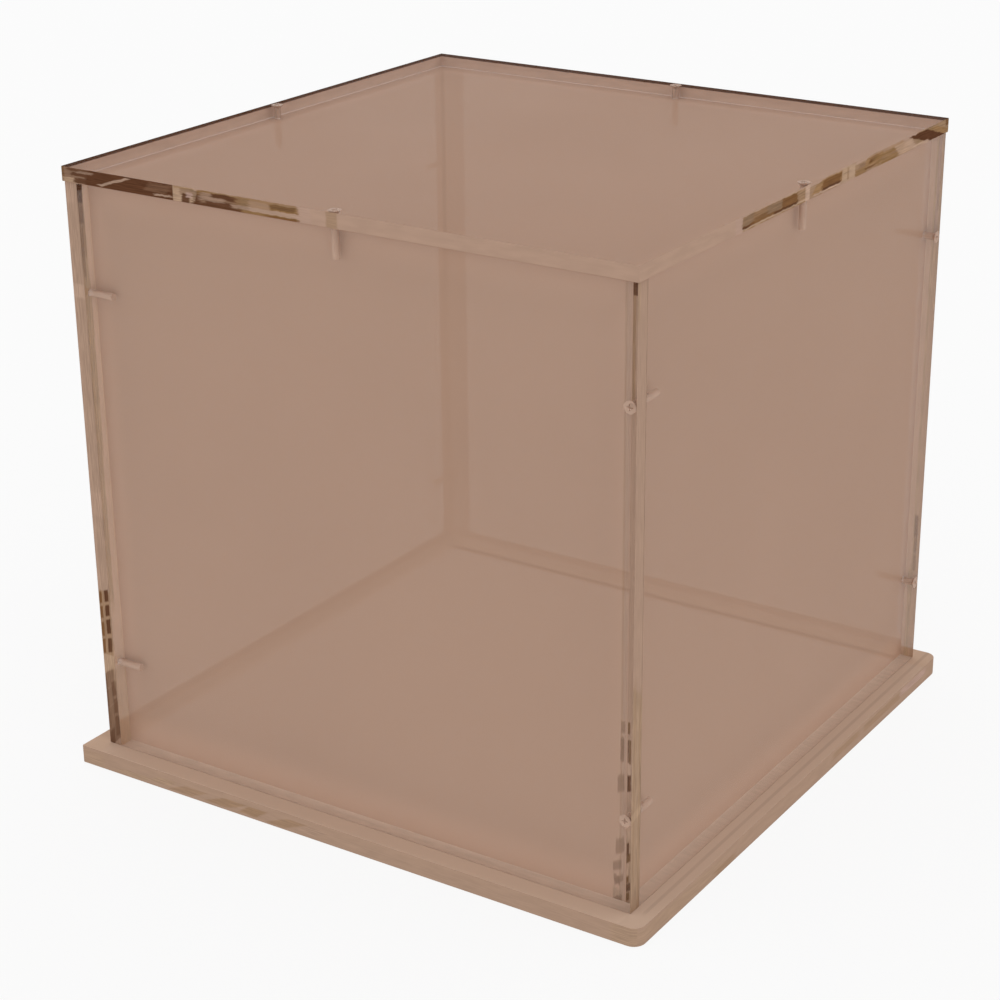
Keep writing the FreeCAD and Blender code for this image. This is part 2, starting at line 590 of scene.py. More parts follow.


# Painted refraction marks, the light and shade seen in the cut edges, by place, as strokes_over
# takes them.
LID_FRONT_MARKS = (
    (-103.0, -92.0, -1.0, 6.0, 0.0, 1.5, BLOCK_BROWN, 0.9),
    (-103.0, -101.3, -1.0, 6.0, 0.0, 0.3, DARK_OLIVE, 0.9),
    (-101.0, -97.0, -1.0, 1.4, 0.0, 1.5, GAP_TAN, 0.7),
    (-92.4, -57.5, -1.0, 6.0, 0.4, 1.0, DARK_BROWN, 1.0),
    (-100.5, -90.0, 3.9, 4.4, 0.4, 1.5, DARK_BROWN, 0.8),
    (-98.5, -90.0, 2.5, 3.3, 0.4, 1.5, DARK_BROWN, 0.85),
    (-96.5, -90.0, 0.4, 1.6, 0.4, 1.5, DARK_BROWN, 0.85),
    (-94.5, -90.5, 3.5, 3.9, 0.0, 1.5, SHADED_TAN, 0.5),
    (-89.4, -87.8, 0.75, 4.1, 3.1, 0.5, SHADED_TAN, 0.9),
    (-70.0, -63.0, 1.8, 4.2, 1.0, 1.5, WARM_BROWN, 0.35),
    (-64.0, -59.0, 0.85, 1.1, 0.0, 1.5, SHADED_TAN, 0.9),
    (-57.5, -49.8, -1.0, 6.0, 0.0, 0.1, GAP_TAN, 0.9),
    (-54.4, -50.4, 2.4, 4.2, 0.0, 0.8, WARM_BROWN, 0.6),
    (-54.2, -52.0, -1.0, 2.6, 0.2, 0.5, DARK_BROWN, 0.95),
    (-52.2, -50.6, 1.8, 3.0, 0.0, 0.6, PINK_TAN, 0.7),
    (-57.0, -50.0, 4.2, 4.4, 0.0, 0.5, OLIVE_BROWN, 0.5),
    (-49.4, -30.0, 0.9, 4.2, 0.0, 1.5, GREY_OLIVE, 0.9),
    (-49.4, -10.8, -1.0, 0.75, 0.0, 0.2, OLIVE_BROWN, 0.95),
    (-49.4, -33.0, -1.0, 0.85, 0.0, 2.0, DARK_BROWN, 0.95),
    (-22.0, -11.4, -0.5, 0.45, 0.0, 1.5, RED_BROWN, 0.85),
    (-49.4, -47.0, -1.0, 4.2, 0.35, 0.3, DARK_BROWN, 0.95),
    (-47.5, -40.0, 3.4, 4.2, 0.0, 1.2, OLIVE_BROWN, 0.85),
    (-47.5, -34.0, 2.0, 2.5, 0.0, 1.8, DARK_BROWN, 0.8),
    (-48.0, -11.5, 4.2, 4.5, 0.0, 0.5, OLIVE_BROWN, 0.7),
    (-46.5, -33.0, 1.0, 3.9, 0.0, 1.5, WARM_BROWN, 0.8),
    (-42.5, -34.5, 2.9, 4.1, 0.0, 1.5, DARK_BROWN, 0.95),
    (-44.5, -36.5, 0.9, 1.9, 0.0, 1.2, DARK_BROWN, 0.85),
    (-47.0, -39.0, 1.9, 2.9, 0.0, 1.5, SHADED_TAN, 0.5),
    (-46.0, -43.5, 3.3, 3.9, 0.0, 1.0, SHADED_TAN, 0.4),
    (-33.0, -20.0, 2.2, 3.9, 0.0, 2.0, OLIVE_BROWN, 0.5),
    (-34.0, -11.8, 1.3, 1.9, 0.0, 2.0, SHADED_TAN, 0.7),
    (-20.8, -11.3, 2.4, 3.9, 0.0, 0.6, OLIVE_BROWN, 1.0),
    (-20.5, -13.0, 2.8, 3.8, 0.0, 1.5, DARK_OLIVE, 0.9),
    (-11.0, -7.0, -1.0, 6.0, 0.0, 0.6, PINK_TAN, 0.2),
    (-0.6, 2.5, -1.0, 6.0, 0.0, 0.4, OLIVE_CORNER, 0.6),
)
LID_RIGHT_MARKS = (
    (-48.0, -43.8, -1.0, 6.0, 0.0, 0.5, PINK_TAN, 0.3),
    (-43.8, -4.3, -1.0, 4.1, 0.0, 0.1, GAP_TAN, 0.9),
    (-43.8, -4.3, 1.1, 4.1, 0.0, 0.1, OLIVE_BLOCK, 0.97),
    (-40.0, -28.0, 2.0, 4.0, 0.0, 2.0, WARM_BROWN, 0.5),
    (-36.0, -22.0, 2.0, 2.5, 0.0, 2.0, RED_BROWN, 0.6),
    (-22.0, -6.0, 3.2, 3.7, 0.0, 2.0, DARK_OLIVE, 0.8),
    (-43.5, -38.5, 1.6, 4.1, 0.0, 1.2, GREY_OLIVE, 0.8),
    (-28.0, -22.5, 1.6, 4.1, 0.0, 1.5, GREY_OLIVE, 0.8),
    (-22.0, -18.5, 2.0, 4.0, 0.0, 1.0, GREY_OLIVE, 0.8),
    (-19.0, -8.5, 1.5, 3.9, 0.0, 0.8, RED_BROWN, 0.8),
    (-9.0, -4.5, 1.2, 4.0, 0.0, 1.0, CORNER_TAN, 0.85),
    (-43.8, -37.5, 0.95, 1.35, 0.0, 0.6, DARK_BROWN, 0.95),
    (-38.0, -24.0, 1.1, 1.6, 0.0, 2.0, RED_BROWN, 0.7),
    (-24.0, -10.0, 0.95, 1.35, 0.0, 1.5, DARK_BROWN, 0.9),
    (-43.8, -4.3, -0.4, 0.15, 0.0, 0.2, OLIVE_BROWN, 0.9),
    (-4.3, -1.5, -1.0, 6.0, 0.0, 0.1, LIGHT_TAN, 0.7),
    (-1.4, 20.8, -1.0, 3.6, 0.0, 0.1, CORNER_TAN, 0.8),
    (-1.0, 20.7, 1.1, 3.6, 1.2, 0.3, OLIVE_BLOCK, 0.9),
    (2.0, 20.7, 3.2, 4.2, 1.2, 0.4, OLIVE_BLOCK, 0.9),
    (5.5, 17.0, 1.8, 3.8, 0.8, 1.5, RED_BROWN, 0.9),
    (7.5, 19.0, 0.95, 1.5, 0.0, 1.0, DARK_BROWN, 0.9),
    (1.5, 19.8, 0.45, 0.7, 0.0, 1.0, LIGHT_TAN, 0.6),
    (1.5, 19.8, -0.6, 0.1, 0.0, 1.0, OLIVE_BROWN, 0.7),
    (20.8, 30.0, -1.0, 6.0, 0.0, 0.2, GAP_TAN, 0.8),
    (24.3, 25.2, 0.6, 4.0, 0.0, 0.1, CORNER_TAN, 0.8),
    (30.0, 78.0, -1.0, 3.7, 0.0, 0.3, CORNER_TAN, 0.9),
    (31.0, 37.0, 0.1, 1.9, 0.0, 1.5, OLIVE_BROWN, 0.7),
    (31.0, 37.0, 2.4, 3.2, 0.8, 1.0, WARM_BROWN, 0.6),
    (36.0, 47.5, 1.8, 4.0, 0.6, 0.6, OLIVE_BLOCK, 0.9),
    (39.0, 45.0, 2.4, 3.8, 0.6, 1.2, RED_BROWN, 1.0),
    (40.0, 43.5, 2.8, 3.6, 0.6, 1.0, DARK_BROWN, 0.7),
    (37.5, 47.0, 0.95, 1.35, 0.0, 1.0, RED_BROWN, 0.8),
    (46.5, 70.0, 0.0, 4.5, -1.2, 2.0, OLIVE_BLOCK, 0.5),
    (50.0, 60.0, -1.0, 0.7, 0.0, 1.5, OLIVE_BROWN, 0.9),
    (60.0, 66.0, 1.5, 3.4, -1.5, 1.5, WARM_BROWN, 0.5),
    (47.0, 68.0, 2.6, 3.3, -0.8, 2.0, OLIVE_BROWN, 0.7),
    (48.0, 66.0, 1.2, 1.7, -0.8, 2.0, OLIVE_BROWN, 0.6),
    (77.0, 104.0, 0.2, 6.0, 0.0, 1.0, OLIVE_CORNER, 1.0),
    (64.0, 76.0, 0.4, 3.6, -1.2, 1.2, LIGHT_TAN, 0.5),
    (86.7, 99.3, 0.3, 4.3, -3.6, 0.8, DARK_BROWN, 1.0),
    (76.0, 86.0, -0.4, 0.9, -1.5, 1.0, LIGHT_TAN, 0.6),
    (100.5, 106.0, 1.0, 3.9, -3.6, 1.0, OLIVE_BROWN, 0.7),
    (99.5, 102.0, 0.6, 3.9, -2.6, 0.6, OLIVE_BLOCK, 0.9),
    (99.8, 104.0, 2.8, 6.0, 0.0, 0.3, DARK_OLIVE, 0.9),
)
FAR_EDGE_MARKS = (
    (-104.0, 104.0, 3.8, 6.0, 0.0, 0.0, DARK_BROWN, 1.0),
)
LEFT_END_MARKS = (
    (5.0, 200.0, -1.0, 6.0, 0.0, 0.0, SHADED_TAN, 0.85),
    (66.0, 186.0, 0.4, 1.2, 0.0, 6.0, EDGE_TAN, 0.5),
    (5.0, 12.4, 0.2, 4.7, 1.0, 0.4, BLOCK_BROWN, 0.9),
    (12.8, 18.4, 0.2, 4.6, 1.0, 0.4, BLOCK_BROWN, 0.95),
    (19.2, 25.2, 0.2, 4.5, 1.0, 0.4, BLOCK_BROWN, 0.9),
    (26.2, 31.5, 0.2, 3.9, 1.0, 0.8, BLOCK_BROWN, 0.9),
    (5.0, 9.5, 0.2, 2.2, 1.0, 0.8, DARK_BROWN, 0.5),
    (8.0, 14.5, 3.2, 4.5, 0.6, 0.5, DARK_BROWN, 0.5),
    (16.5, 21.0, 3.2, 4.4, 0.6, 0.5, DARK_BROWN, 0.5),
    (23.0, 27.5, 2.8, 4.2, 0.6, 0.5, DARK_BROWN, 0.5),
    (13.0, 30.0, 0.0, 0.7, 0.0, 2.0, DARK_BROWN, 0.4),
    (26.0, 38.0, 4.1, 6.0, 0.8, 1.5, CORNER_TAN, 0.5),
    (33.0, 39.5, -1.0, 4.8, 0.6, 0.8, GAP_TAN, 0.8),
    (40.0, 62.5, -0.2, 4.5, 0.0, 0.3, CORNER_TAN, 0.9),
    (39.8, 44.2, 2.7, 4.1, 0.4, 0.4, DARK_BROWN, 0.9),
    (46.6, 51.0, 2.7, 4.1, 0.4, 0.4, DARK_BROWN, 0.95),
    (53.0, 56.2, 2.7, 4.2, 0.4, 0.4, DARK_BROWN, 0.95),
    (58.2, 61.6, 2.7, 4.1, 0.4, 0.4, DARK_BROWN, 0.95),
    (40.0, 44.4, 0.5, 1.3, 0.4, 0.5, RED_BROWN, 0.9),
    (46.2, 50.4, 0.5, 1.3, 0.4, 0.5, RED_BROWN, 0.9),
    (52.8, 56.2, 0.5, 1.3, 0.4, 0.5, RED_BROWN, 0.9),
    (58.2, 61.4, 0.5, 1.3, 0.4, 0.5, RED_BROWN, 0.9),
    (90.0, 97.0, 0.0, 4.5, 0.0, 1.0, EDGE_TAN, 0.6),
    (163.5, 167.0, 0.0, 4.8, 0.0, 0.6, LIGHT_TAN, 0.5),
    (194.0, 200.0, 0.0, 3.0, 0.0, 1.0, EDGE_TAN, 0.5),
)
LEFT_LINE_MARKS = (
    (64.0, 163.5, 2.8, 6.0, 0.0, 10.0, OLIVE_LIGHT, 0.8),
    (120.0, 163.0, 2.2, 6.0, 0.0, 16.0, OLIVE_LIGHT, 0.9),
    (167.5, 200.0, 2.6, 6.0, 0.0, 2.0, OLIVE_LIGHT, 0.95),
    (178.0, 190.0, 2.6, 6.0, 0.0, 5.0, CORNER_TAN, 0.6),
    (172.0, 184.0, 3.6, 4.6, 0.0, 4.0, WARM_BROWN, 0.5),
    (186.0, 191.4, 3.0, 4.8, 0.4, 0.8, WARM_BROWN, 0.8),
    (192.4, 196.4, 2.8, 4.8, 0.4, 0.5, DARK_BROWN, 0.9),
    (197.4, 199.2, 2.6, 5.0, 0.0, 0.3, DARK_BROWN, 1.0),
    (5.0, 34.0, -1.0, 6.0, 0.0, 2.0, OLIVE_LIGHT, 0.4),
)
BUTT_END_MARKS = (
    (5.0, 200.0, -1.0, 6.0, 0.0, 0.0, SHADED_TAN, 0.5),
    (5.0, 78.0, 2.2, 6.0, 0.3, 0.6, OLIVE_TAN, 0.9),
    (166.0, 197.0, -1.0, 1.1, 0.0, 8.0, CORNER_TAN, 0.9),
    (194.8, 198.3, -1.0, 1.6, 0.0, 0.2, DARK_BROWN, 0.9),
    (5.0, 31.0, 0.0, 2.2, 0.5, 1.0, OLIVE_TAN, 0.8),
    (7.0, 9.0, 0.2, 1.2, 0.8, 0.4, DARK_OLIVE, 0.85),
    (10.2, 12.0, 0.0, 1.5, 0.8, 0.4, DARK_BROWN, 0.8),
    (13.0, 14.6, 0.2, 1.0, 0.8, 0.4, DARK_OLIVE, 0.85),
    (20.0, 22.0, 0.3, 1.5, 0.8, 0.4, DARK_OLIVE, 0.85),
    (22.6, 26.0, 0.0, 1.0, 0.6, 0.4, DARK_BROWN, 0.85),
    (16.0, 19.0, 0.4, 1.0, 0.6, 0.5, LIGHT_TAN, 0.6),
    (28.0, 34.0, 0.2, 1.8, 0.6, 1.0, LIGHT_TAN, 0.5),
    (44.2, 49.0, 0.0, 1.3, 0.3, 0.5, DARK_BROWN, 0.9),
    (49.5, 53.0, 0.3, 1.5, 0.3, 0.5, LIGHT_TAN, 0.7),
    (53.8, 60.5, -0.2, 0.45, 0.0, 0.3, DARK_BROWN, 1.0),
    (53.5, 60.5, 0.95, 1.25, 0.0, 0.5, DARK_OLIVE, 0.9),
    (63.0, 66.0, 0.0, 0.9, 0.3, 0.4, DARK_OLIVE, 0.8),
)
EXPOSED_END_MARKS = (
    (5.0, 200.0, -1.0, 6.0, 0.0, 0.0, SHADED_TAN, 0.5),
    (5.0, 80.0, -1.0, 6.0, -0.9, 1.0, OLIVE_TAN, 0.95),
    (8.0, 74.0, 3.7, 4.1, 0.0, 6.0, CORNER_TAN, 0.5),
    (20.0, 78.0, 0.6, 1.4, 0.0, 8.0, CORNER_TAN, 0.4),
    (37.0, 39.2, -1.0, 6.0, 0.3, 0.2, GAP_TAN, 0.8),
    (190.0, 200.0, -1.0, 0.8, 0.0, 3.0, OLIVE_TAN, 0.9),
)
BACK_END_MARKS = (
    (5.0, 200.0, 2.3, 2.7, 0.0, 0.0, OLIVE_LIGHT, 0.7),
    (5.0, 200.0, -1.0, 2.3, 0.0, 0.0, OLIVE_LIGHT, 0.35),
    (5.0, 40.0, 2.3, 3.6, 0.0, 3.0, OLIVE_LIGHT, 0.8),
    (41.0, 46.0, 1.4, 2.2, 0.0, 1.0, CORNER_TAN, 0.8),
    (48.0, 52.5, 1.4, 2.2, 0.0, 1.0, CORNER_TAN, 0.8),
    (54.0, 61.0, 1.4, 2.4, 0.0, 1.0, WARM_BROWN, 0.7),
    (146.0, 200.0, 0.0, 2.4, 0.0, 14.0, OLIVE_LIGHT, 0.6),
    (166.0, 196.0, 1.2, 2.0, 0.0, 8.0, PINK_TAN, 0.5),
)
FRONT_CORNER_MARKS = (
    (5.0, 200.0, -1.3, -0.2, 0.0, 0.0, SHADED_TAN, 0.5),
    (5.0, 200.0, -1.9, -1.6, 0.0, 0.0, CORNER_TAN, 0.45),
    (6.0, 8.5, -4.0, -1.0, -0.4, 1.2, OLIVE_TAN, 0.7),
    (7.2, 8.8, -3.8, -1.2, 0.6, 0.8, WARM_BROWN, 0.7),
    (11.0, 12.6, -3.8, -2.0, -0.6, 0.8, WARM_BROWN, 0.6),
    (14.7, 16.0, -3.6, -0.8, 0.8, 0.8, WARM_BROWN, 0.6),
    (18.8, 20.6, -4.0, -1.4, 0.5, 0.9, WARM_BROWN, 0.65),
    (24.6, 28.0, -3.2, -0.6, 0.6, 1.2, WARM_BROWN, 0.6),
    (45.0, 49.0, -2.8, -0.8, 0.5, 1.2, WARM_BROWN, 0.65),
    (54.5, 60.5, -1.9, -1.0, 0.2, 1.2, WARM_BROWN, 0.8),
    (64.0, 66.6, -1.8, -0.8, 0.5, 0.9, WARM_BROWN, 0.6),
)
BASE_FRONT_MARKS = (
    (-108.0, 110.0, -1.0, 3.9, 0.0, 0.0, SHADED_TAN, 0.3),
    (-95.0, -84.0, 0.6, 2.2, 2.5, 2.0, OLIVE_TAN, 0.7),
    (-80.0, -74.0, 1.8, 3.8, 1.5, 1.5, OLIVE_TAN, 0.8),
    (-72.0, -64.0, 1.0, 3.6, 2.5, 1.5, CORNER_TAN, 0.6),
    (-57.0, -49.0, 1.2, 4.0, 2.5, 1.5, CORNER_TAN, 0.75),
    (-42.0, -36.5, 1.2, 4.0, 1.5, 1.5, CORNER_TAN, 0.85),
    (-31.0, -25.0, 0.8, 4.2, 2.5, 1.5, CORNER_TAN, 0.7),
    (-20.0, -14.0, 1.4, 3.8, 2.0, 1.5, SHADED_TAN, 0.8),
    (100.0, 112.0, -1.0, 7.0, 0.0, 2.0, OLIVE_TAN, 0.7),
    (-112.0, -100.0, -1.0, 5.0, 0.0, 2.0, OLIVE_TAN, 0.5),
)
BASE_RIGHT_MARKS = (
    (-106.0, -60.0, -1.0, 5.0, 0.0, 8.0, OLIVE_TAN, 0.5),
    (-110.0, 110.0, -1.0, 1.0, 0.0, 0.0, SHADED_TAN, 0.5),
    (-60.0, -50.0, 0.5, 2.5, 0.0, 3.0, CORNER_TAN, 0.5),
    (24.0, 40.0, 3.0, 5.0, 0.0, 4.0, CORNER_TAN, 0.5),
    (48.0, 74.0, 2.6, 5.0, 0.0, 4.0, CORNER_TAN, 0.5),
    (78.0, 96.0, 3.2, 5.5, 0.0, 3.0, PINK_TAN, 0.6),
)


# ---------------------------------------------------------------- which face gets which material
x_back = backwards(axis_x)
y_back = backwards(axis_y)
lid_up = past(axis_z, lid_low.z)

near_polish = polished("polished_face")
POLISHES = (
    near_polish,
    near_polish,
    polished("back_polished_face", foot_cover=FOOT_SCREEN, end_past=x_back),
    polished("left_polished_face", foot_cover=FOOT_SCREEN),
)
WALL_VEILS = (
    pane_tint("front_wall_tint", BRONZE, wall_glow(axis_x, 0.6, 0.4), cut_past=axis_x,
              strokes=FRONT_CORNER_MARKS),
    pane_tint("right_wall_tint", BRONZE, wall_glow(axis_y, 0.25, 0.12)),
    pane_tint("back_wall_tint", BRONZE, wall_glow(axis_x, 0.3, 0.3), cover=FAR_TINT,
              cut_past=x_back, foot_line=(-0.5, 1.2, 1.0)),
    pane_tint("left_wall_tint", BRONZE, wall_glow(axis_y, 0.3, 0.3), cover=FAR_TINT,
              cut_past=y_back, foot_line=(3.0, 4.8, 0.35), line_at=axis_y),
)
EXPOSED_ENDS = (
    cut_edge("front_wall_end", axis_z, past(axis_y, -HALF), EXPOSED_END_MARKS, ragged=0.3),
    cut_edge("right_wall_end", axis_z, past(x_back, -HALF), BACK_END_MARKS, plain=END_TAN,
             cover=0.92, ragged=0.3),
    cut_edge("back_wall_end", axis_z, past(y_back, -HALF), plain=INNER_TAN, cover=0.8),
    cut_edge("left_wall_end", axis_z, past(axis_x, -HALF), LEFT_END_MARKS),
)
BUTT_ENDS = (
    cut_edge("front_wall_butt", axis_z, past(y_back, INNER), LEFT_LINE_MARKS, plain=INNER_TAN,
             cover=0.95),
    cut_edge("right_wall_butt", axis_z, past(axis_x, INNER), BUTT_END_MARKS, ragged=0.5),
    cut_edge("back_wall_butt", axis_z, past(axis_y, INNER), plain=INNER_TAN, cover=0.5),
    cut_edge("left_wall_butt", axis_z, past(x_back, INNER), plain=INNER_TAN, cover=0.6),
)
near_foot = cut_edge("wall_foot", axis_x, axis_y, plain=FOOT_TAN)
far_foot = cut_edge("far_wall_foot", axis_x, axis_y, plain=FOOT_TAN, cover=0.15)
FEET = (near_foot, near_foot, far_foot, far_foot)
top_edge = clear_face("wall_top", SEAT)

lid_veil = pane_tint("lid_tint", LID_BRONZE, lid_glow)
LID_EDGES = {
    "front": cut_edge("lid_front_edge", axis_x, lid_up, LID_FRONT_MARKS, ragged=1.0),
    "right": cut_edge("lid_right_edge", axis_y, lid_up, LID_RIGHT_MARKS, ragged=1.0),
    "back": cut_edge("lid_back_edge", axis_x, lid_up, FAR_EDGE_MARKS, plain=FAR_TAN, ragged=0.2),
    "left": cut_edge("lid_left_edge", axis_y, lid_up, FAR_EDGE_MARKS, plain=FAR_TAN, ragged=0.2),
}
base_veil = base_tint("base_tint", BASE_BRONZE)
base_under = clear_face("base_underside", UNDERSIDE)
base_edge = cut_edge("base_edge", axis_x, axis_z, BASE_FRONT_MARKS, plain=BASE_SIDE_TAN)
base_side_edge = cut_edge("base_side_edge", axis_y, axis_z, BASE_RIGHT_MARKS,
                          plain=BASE_SIDE_TAN)
hole_wall = clear_face("drilled_hole", HOLE, SCREW_TAN, by_screw=True)
screw_plastic = clear_plastic("clear_screw_plastic")


# ---------------------------------------------------------------- meshes
def new_object(name, mesh):
    piece = bpy.data.objects.new(name, mesh)
    bpy.context.scene.collection.objects.link(piece)
    return piece


def shape_object(name, shape):
    """An object made of a bmesh, which is freed."""
    mesh = bpy.data.meshes.new(name)
    shape.to_mesh(mesh)
    shape.free()
    return new_object(name, mesh)


def slab(name, low, high, corner_radii=()):
    """A box with polished arrises; corner_radii rounds its upright corners first."""
    shape = bmesh.new()
    bmesh.ops.create_cube(shape, size=1)
    centre = (low + high) / 2
    size = high - low
    for vertex in shape.verts:
        vertex.co = Vector([vertex.co[axis] * size[axis] + centre[axis] for axis in range(3)])
    for radius, wanted in corner_radii:
        upright = []
        for rim in shape.edges:
            start, end = (vertex.co for vertex in rim.verts)
            if abs(start.z - end.z) > size.z / 2 and wanted(start):
                upright.append(rim)
        bmesh.ops.bevel(shape, geom=upright, offset=radius, segments=CORNER_SEGMENTS,
                        affect="EDGES", profile=0.5)
    sharp = [rim for rim in shape.edges if rim.calc_face_angle(0) > SHARP]
    bmesh.ops.bevel(shape, geom=sharp, offset=ARRIS, segments=ARRIS_SEGMENTS, affect="EDGES",
                    profile=0.5)
    bmesh.ops.recalc_face_normals(shape, faces=shape.faces)
    return shape_object(name, shape)


def on_circle(radius, step, steps, height):
    angle = 2 * math.pi * step / steps
    return (radius * math.cos(angle), radius * math.sin(angle), height)


def lathe(profile, steps):
    """A closed bmesh turned about Z from (radius, height) points, first and last on the axis."""
    shape = bmesh.new()
    rings = []
    for radius, height in profile:
        count = steps if radius else 1
        rings.append([shape.verts.new(on_circle(radius, step, steps, height))
                      for step in range(count)])
    for upper, lower in zip(rings, rings[1:]):
        for step in range(steps):
            after = (step + 1) % steps
            if len(upper) == 1:
                shape.faces.new((upper[0], lower[step], lower[after]))
            elif len(lower) == 1:
                shape.faces.new((upper[after], upper[step], lower[0]))
            else:
                shape.faces.new((upper[after], upper[step], lower[step], lower[after]))
    bmesh.ops.recalc_face_normals(shape, faces=shape.faces)
    return shape


def cut(piece, cutters):
    """Takes the cutter objects out of the piece and throws them away."""
    for cutter in cutters:
        modifier = piece.modifiers.new("cut", "BOOLEAN")
        modifier.operation = "DIFFERENCE"
        modifier.solver = "EXACT"
        modifier.object = cutter
    bpy.context.view_layer.update()
    graph = bpy.context.evaluated_depsgraph_get()
    mesh = bpy.data.meshes.new_from_object(piece.evaluated_get(graph))
    piece.modifiers.clear()
    piece.data = mesh
    for cutter in cutters:
        bpy.data.objects.remove(cutter)


def screw_places():
    """(CAD node, placement) of every screw, from the CAD nodes' boxes."""
    places = []
    for turn, side in enumerate(SIDES):
        lift = Matrix.Translation((0, -EDGE_MIDDLE, LID_TOP))
        places.append(("lid_screw_" + side, quarter_turns(turn) @ lift))
        for level in LEVELS:
            node = "corner_screw_" + CORNERS[turn] + "_" + level
            low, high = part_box(node)
            lie = Matrix.Translation((EDGE_MIDDLE, -HALF, (low.z + high.z) / 2))
            lie = lie @ Matrix.Rotation(math.radians(90), 4, "X")
            places.append((node, quarter_turns(turn) @ lie))
    return places


def hole_cutter(placement):
    grown = HEAD_RADIUS + HOLE_CLEARANCE
    wall = SHANK_RADIUS + HOLE_CLEARANCE
    end = -SCREW_LENGTH - HOLE_OVERSHOOT
    profile = [(0, MM), (grown, MM), (grown, -HEAD_RIM), (wall, HEAD_BOTTOM), (wall, end), (0, end)]
    shape = lathe(profile, HOLE_STEPS)
    shape.transform(placement)
    return shape_object("hole", shape)


def thread_radius(depth, angle):
    """The screw's radius at a depth below its head and an angle round it."""
    phase = (depth / THREAD_PITCH - angle / (2 * math.pi)) % 1
    ridge = max(0.0, 1 - abs(phase - 0.5) / RIDGE_HALF_WIDTH)
    ridge *= min(1.0, max(0.0, (depth + HEAD_BOTTOM) / THREAD_PITCH))
    ridge *= min(1.0, max(0.0, (THREAD_END - depth) / THREAD_PITCH))
    radius = ROOT_RADIUS + (SHANK_RADIUS - ROOT_RADIUS) * ridge
    into_tip = (depth - SCREW_LENGTH + TIP_LENGTH) / TIP_LENGTH
    if into_tip > 0:
        radius = radius * (1 - into_tip) + TIP_RADIUS * into_tip
    return radius


def recess_cutter(turn):
    """One bar of the cross recess, narrower at its foot."""
    shape = bmesh.new()
    bmesh.ops.create_cube(shape, size=1)
    for vertex in shape.verts:
        at_top = vertex.co.z > 0
        taper = 1.0 if at_top else RECESS_TAPER
        vertex.co.x *= RECESS_LENGTH * taper
        vertex.co.y *= RECESS_WIDTH * taper
        vertex.co.z = MM if at_top else -RECESS_DEPTH
    shape.transform(quarter_turns(turn))
    return shape_object("recess", shape)


def screw_mesh():
    """A countersunk screw pointing down, with a helical thread and a cross recess."""
    head = ((HEAD_RADIUS - HEAD_SOFTENING, 0.0), (HEAD_RADIUS, HEAD_SOFTENING),
            (HEAD_RADIUS, HEAD_RIM))
    rings = [[place] * SCREW_STEPS for place in head]
    threaded = SCREW_LENGTH + HEAD_BOTTOM
    count = int(threaded / (THREAD_PITCH / RINGS_PER_PITCH))
    angles = [2 * math.pi * step / SCREW_STEPS for step in range(SCREW_STEPS)]
    for index in range(count + 1):
        depth = threaded * index / count - HEAD_BOTTOM
        rings.append([(thread_radius(depth, angle), depth) for angle in angles])
    shape = bmesh.new()
    rows = [[shape.verts.new(on_circle(radius, step, SCREW_STEPS, -depth))
             for step, (radius, depth) in enumerate(ring)] for ring in rings]
    for upper, lower in zip(rows, rows[1:]):
        for step in range(SCREW_STEPS):
            after = (step + 1) % SCREW_STEPS
            shape.faces.new((upper[after], upper[step], lower[step], lower[after]))
    shape.faces.new(rows[0])
    shape.faces.new(list(reversed(rows[-1])))
    bmesh.ops.recalc_face_normals(shape, faces=shape.faces)
    body = shape_object("screw", shape)
    cut(body, [recess_cutter(turn) for turn in range(2)])
    mesh = body.data
    bpy.data.objects.remove(body)
    return mesh


def crosses(placement, low, high):
    """True if a screw's axis runs into the box."""
    for step in range(AXIS_STEPS + 1):
        spot = placement @ Vector((0, 0, -SCREW_LENGTH * step / AXIS_STEPS))
        if all(low[axis] - AXIS_SLACK <= spot[axis] <= high[axis] + AXIS_SLACK
               for axis in range(3)):
            return True
    return False


def drill(piece, places, low, high):
    """Drills a pane, whose CAD box is given, for the screws that run into it.

    Returns the placements of those screws.
    """
    near = [placement for _, placement in places if crosses(placement, low, high)]
    cut(piece, [hole_cutter(placement) for placement in near])
    return near


def in_hole(polygon, placements):
    """True for a small face beside one of the screws' axes."""
    if polygon.area >= SMALL_FACE:
        return False
    for placement in placements:
        local = placement.inverted() @ polygon.center
        if (-SCREW_LENGTH - MM < local.z < HOLE_OVERSHOOT
                and math.hypot(local.x, local.y) < HOLE_REACH):
            return True
    return False


def paint_faces(piece, choose):
    """Gives each face of a piece the material that choose(polygon) names for it."""
    mesh = piece.data
    mesh.materials.clear()
    slots = {}
    for polygon in mesh.polygons:
        material = choose(polygon)
        if material.name not in slots:
            slots[material.name] = len(slots)
            mesh.materials.append(material)
        polygon.material_index = slots[material.name]


def finish_piece(piece, body, node):
    """Shades a piece, smooth on its curves and flat on its broad faces, and registers it."""
    mesh = piece.data
    for polygon in mesh.polygons:
        polygon.use_smooth = polygon.area < SMALL_FACE
    mesh.set_sharp_from_angle(angle=CREASE)
    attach(piece, body)
    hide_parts(node)


